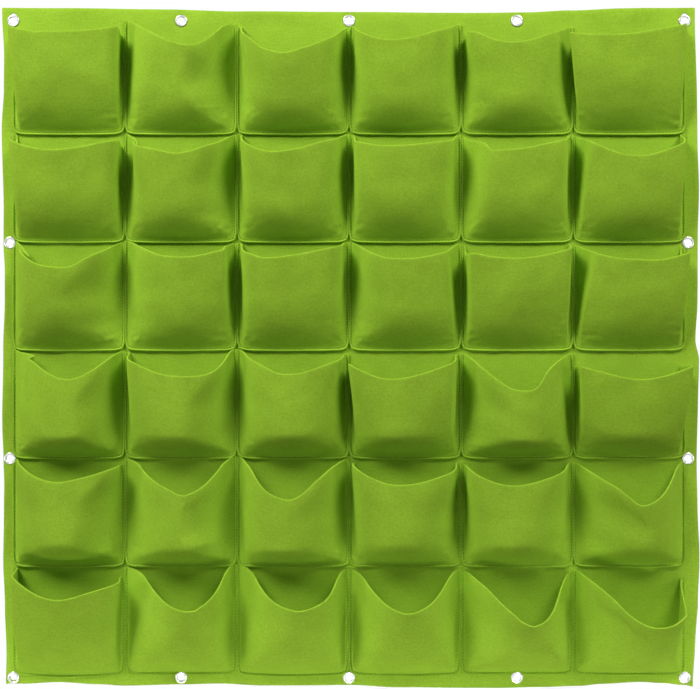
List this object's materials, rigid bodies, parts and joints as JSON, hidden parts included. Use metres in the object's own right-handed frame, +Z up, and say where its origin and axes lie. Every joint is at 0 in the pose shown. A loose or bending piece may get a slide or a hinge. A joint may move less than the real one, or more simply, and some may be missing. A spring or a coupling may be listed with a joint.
{
  "type": "felt wall planter",
  "caption": "Hanging felt panel with a grid of open-topped felt pockets for plants and metal eyelets round its edge for fixing to a wall.",
  "frame": {"origin": "middle of the panel's back face, which lies on the wall", "axes": "+Z up the wall, +X to the viewer's right, +Y into the wall, so the pockets stand out towards -Y"},
  "size_m": [1, 0.0929, 0.9716],
  "materials": {
    "felt": "needle-punched felt, matt and fibrous",
    "thread": "spun polyester sewing thread",
    "eyelet_metal": "bright pressed metal"
  },
  "bodies": {
    "root": {"back_panel": "felt", "pocket_r1_c1": "felt", "pocket_r1_c2": "felt", "pocket_r1_c3": "felt", "pocket_r1_c4": "felt", "pocket_r1_c5": "felt", "pocket_r1_c6": "felt", "pocket_r2_c1": "felt", "pocket_r2_c2": "felt", "pocket_r2_c3": "felt", "pocket_r2_c4": "felt", "pocket_r2_c5": "felt", "pocket_r2_c6": "felt", "pocket_r3_c1": "felt", "pocket_r3_c2": "felt", "pocket_r3_c3": "felt", "pocket_r3_c4": "felt", "pocket_r3_c5": "felt", "pocket_r3_c6": "felt", "pocket_r4_c1": "felt", "pocket_r4_c2": "felt", "pocket_r4_c3": "felt", "pocket_r4_c4": "felt", "pocket_r4_c5": "felt", "pocket_r4_c6": "felt", "pocket_r5_c1": "felt", "pocket_r5_c2": "felt", "pocket_r5_c3": "felt", "pocket_r5_c4": "felt", "pocket_r5_c5": "felt", "pocket_r5_c6": "felt", "pocket_r6_c1": "felt", "pocket_r6_c2": "felt", "pocket_r6_c3": "felt", "pocket_r6_c4": "felt", "pocket_r6_c5": "felt", "pocket_r6_c6": "felt", "stitching_row_1": "thread", "stitching_row_2": "thread", "stitching_row_3": "thread", "stitching_row_4": "thread", "stitching_row_5": "thread", "stitching_row_6": "thread", "eyelets_top_edge": "eyelet_metal", "eyelets_bottom_edge": "eyelet_metal", "eyelets_left_edge": "eyelet_metal", "eyelets_right_edge": "eyelet_metal", "washers_top_edge": "eyelet_metal", "washers_bottom_edge": "eyelet_metal", "washers_left_edge": "eyelet_metal", "washers_right_edge": "eyelet_metal"}
  },
  "joints": []
}
